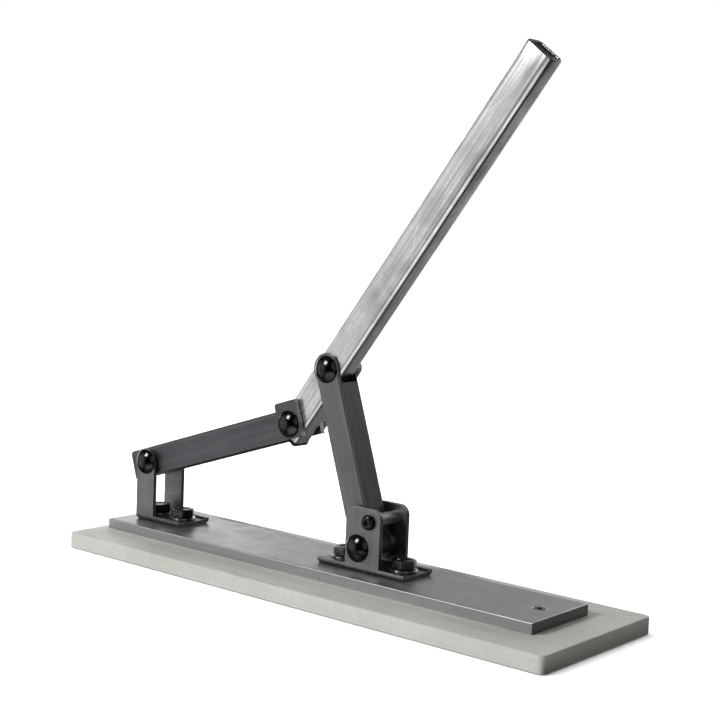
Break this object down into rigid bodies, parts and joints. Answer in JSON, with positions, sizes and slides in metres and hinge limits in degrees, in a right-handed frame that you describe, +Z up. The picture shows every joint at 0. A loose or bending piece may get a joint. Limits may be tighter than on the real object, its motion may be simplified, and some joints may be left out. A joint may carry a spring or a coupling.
{
  "type": "lever lobster and crab cracker",
  "caption": "Lever cracker on a long board: a hinged channel arm is pressed down onto a claw by a long tube handle that rocks on an upright channel link.",
  "frame": {"origin": "centre of the underside of the board", "axes": "+X along the board from the arm's hinge to the open end, +Y from the side of the bolt heads to the side of the nuts, +Z up"},
  "size_m": [0.36, 0.108, 0.3142],
  "materials": {
    "board": "white cutting-board plastic, matt, lightly scuffed",
    "plate": "mill-finish flat bar with drawn lines",
    "channel": "dull grey metal channel, fine scratches",
    "handle": "bright brushed tube with mottled marks",
    "bright_fastener": "polished stainless bolts, washers and nuts",
    "dark_fastener": "dark steel screws and hexagon bolts",
    "sleeve": "plain steel spacer sleeve",
    "plug": "black moulded end plug"
  },
  "bodies": {
    "base": {"base_board": "board", "base_plate": "plate", "base_plate_screws": "dark_fastener", "arm_bracket": "channel", "link_bracket": "channel", "bracket_bolts": "dark_fastener", "bracket_washers": "bright_fastener", "bracket_pivot_bolts": "bright_fastener", "bracket_pivot_washers": "bright_fastener", "bracket_pivot_nuts": "bright_fastener", "bracket_spacers": "sleeve", "stop_bolt": "bright_fastener", "stop_sleeve": "sleeve", "stop_nut": "bright_fastener"},
    "arm": {"arm_channel": "channel", "arm_hinge_sleeve": "sleeve", "arm_tip_bolt": "bright_fastener", "arm_tip_washer": "bright_fastener", "arm_tip_nut": "bright_fastener"},
    "handle": {"handle_tube": "handle", "handle_end_plug": "plug", "handle_lower_plug": "plug", "handle_lower_bush": "sleeve", "handle_upper_bush": "sleeve"},
    "link": {"link_channel": "channel", "link_foot_sleeve": "sleeve", "link_top_bolt": "bright_fastener", "link_top_washer": "bright_fastener", "link_top_nut": "bright_fastener"}
  },
  "joints": [
    {"name": "arm_hinge", "type": "hinge", "parent": "base", "child": "arm", "pos_m": [-0.1535, 0, 0.055], "axis": [0, 1, 0], "range_deg": [0, 8.5]},
    {"name": "handle_hinge", "type": "hinge", "parent": "arm", "child": "handle", "pos_m": [-0.03286, 0, 0.09427], "axis": [0, -1, 0], "range_deg": [0, 42.1]},
    {"name": "link_hinge", "type": "hinge", "parent": "base", "child": "link", "pos_m": [0.0265, 0, 0.03], "axis": [0, -1, 0], "range_deg": [0, 11.35]}
  ],
  "couplings": [
    {"joint": "handle_hinge", "follows": "arm_hinge", "ratio": 4.95},
    {"joint": "link_hinge", "follows": "arm_hinge", "ratio": 1.3304}
  ]
}
